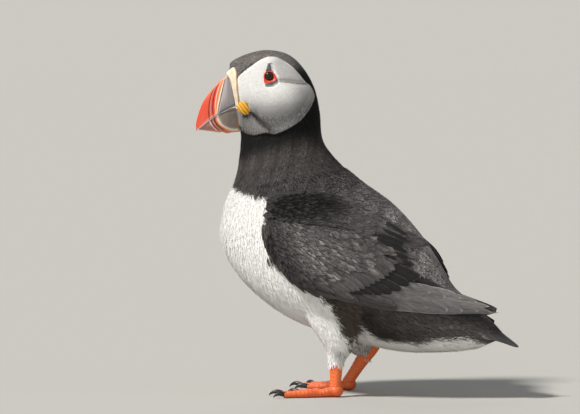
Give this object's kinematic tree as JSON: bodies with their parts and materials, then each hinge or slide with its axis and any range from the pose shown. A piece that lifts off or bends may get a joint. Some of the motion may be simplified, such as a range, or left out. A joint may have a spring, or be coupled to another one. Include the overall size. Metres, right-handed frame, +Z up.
{
  "type": "atlantic puffin",
  "caption": "Life-size puffin standing at rest on both webbed feet, wings folded, head turned a little to its left, with a deep triangular bill.",
  "frame": {"origin": "on the floor, under the middle of the bird's bounding box", "axes": "+Z up, -Y the way the breast faces, +X the bird's left side"},
  "size_m": [0.0996, 0.2108, 0.2218],
  "materials": {
    "white_feathers": "soft matt",
    "black_feathers": "soft matt with a faint sheen",
    "red_bill": "satin horn",
    "grey_horn": "satin horn",
    "cream_horn": "satin horn",
    "yellow_skin": "soft bare skin",
    "orange_skin": "scaly bare skin",
    "black_claw": "polished horn",
    "dark_eye": "wet gloss"
  },
  "bodies": {
    "root": {"brow_plate_left": "grey_horn", "brow_plate_right": "grey_horn", "cere": "cream_horn", "claw_inner_left": "black_claw", "claw_inner_right": "black_claw", "claw_middle_left": "black_claw", "claw_middle_right": "black_claw", "claw_outer_left": "black_claw", "claw_outer_right": "black_claw", "eye_left": "dark_eye", "eye_right": "dark_eye", "foot_left": "orange_skin", "foot_right": "orange_skin", "head": "white_feathers", "lid_plate_left": "grey_horn", "lid_plate_right": "grey_horn", "lower_bill": "red_bill", "neck": "black_feathers", "primaries_left": "black_feathers", "primaries_right": "black_feathers", "rosette_left": "yellow_skin", "rosette_right": "yellow_skin", "rump": "black_feathers", "shank_left": "orange_skin", "shank_right": "orange_skin", "tail": "black_feathers", "thigh_left": "white_feathers", "thigh_right": "white_feathers", "trunk": "white_feathers", "upper_bill": "red_bill", "wing_left": "black_feathers", "wing_right": "black_feathers"}
  },
  "joints": []
}
